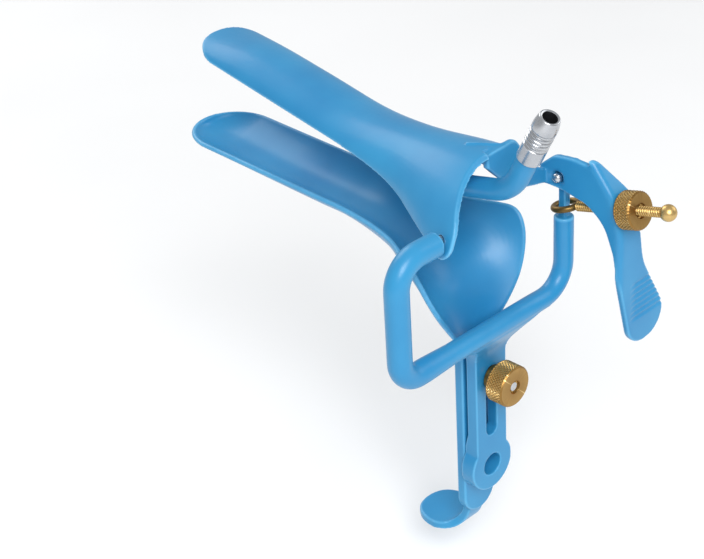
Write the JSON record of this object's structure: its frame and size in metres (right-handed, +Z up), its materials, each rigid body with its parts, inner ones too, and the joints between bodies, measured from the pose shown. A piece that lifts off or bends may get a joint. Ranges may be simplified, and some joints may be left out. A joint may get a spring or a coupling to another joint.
{
  "type": "bivalve speculum",
  "caption": "Bivalve vaginal speculum with an insulating coat, hinged upper and sliding lower blade, thumb lever, knurled nuts and a smoke tube with a hose nozzle.",
  "frame": {"origin": "middle of the through hole in the boss at the foot of the yoke's arm", "axes": "+Y forward along the blades, +Z up along the arm towards the blade hinge, +X along the hinge towards the lever"},
  "size_m": [0.0881, 0.1605, 0.1471],
  "materials": {
    "coated_steel": "satin blue nylon coat",
    "polished_steel": "turned and polished",
    "brass": "knurled, lightly brushed"
  },
  "bodies": {
    "yoke": {"yoke": "coated_steel", "arm": "coated_steel", "hinge_pin": "coated_steel", "pivot_rivet": "coated_steel"},
    "upper_blade": {"upper_blade": "coated_steel", "lever_web": "coated_steel", "lever": "coated_steel", "smoke_tube": "coated_steel", "hose_nozzle": "polished_steel"},
    "lower_blade": {"lower_blade": "coated_steel", "stem": "coated_steel", "clamp_stud": "polished_steel"},
    "clamp_nut": {"clamp_nut": "brass"},
    "lever_screw": {"lever_screw": "brass", "screw_ball": "brass"},
    "lever_nut": {"lever_nut": "brass"}
  },
  "joints": [
    {"name": "blade_hinge", "type": "hinge", "parent": "yoke", "child": "upper_blade", "pos_m": [0, -0.00585, 0.0857], "axis": [1, 0, 0], "range_deg": [-14.5, 15]},
    {"name": "stem_slide", "type": "slide", "parent": "yoke", "child": "lower_blade", "axis": [0, 0, -1], "range_m": [0, 0.017]},
    {"name": "clamp_nut_spin", "type": "hinge", "parent": "lower_blade", "child": "clamp_nut", "pos_m": [0, -0.00835, 0.0311], "axis": [0, -1, 0], "continuous": true},
    {"name": "screw_swing", "type": "hinge", "parent": "yoke", "child": "lever_screw", "pos_m": [0.0279, -0.00665, 0.0761], "axis": [1, 0, 0], "range_deg": [-13.8, 14.3]},
    {"name": "lever_nut_travel", "type": "slide", "parent": "lever_screw", "child": "lever_nut", "axis": [0, -0.9668, 0.2554], "range_m": [-0.0026, 0.0026]}
  ],
  "couplings": [
    {"joint": "screw_swing", "follows": "blade_hinge", "ratio": 0.9224},
    {"joint": "lever_nut_travel", "follows": "blade_hinge", "m_per_rad": -0.00942}
  ]
}
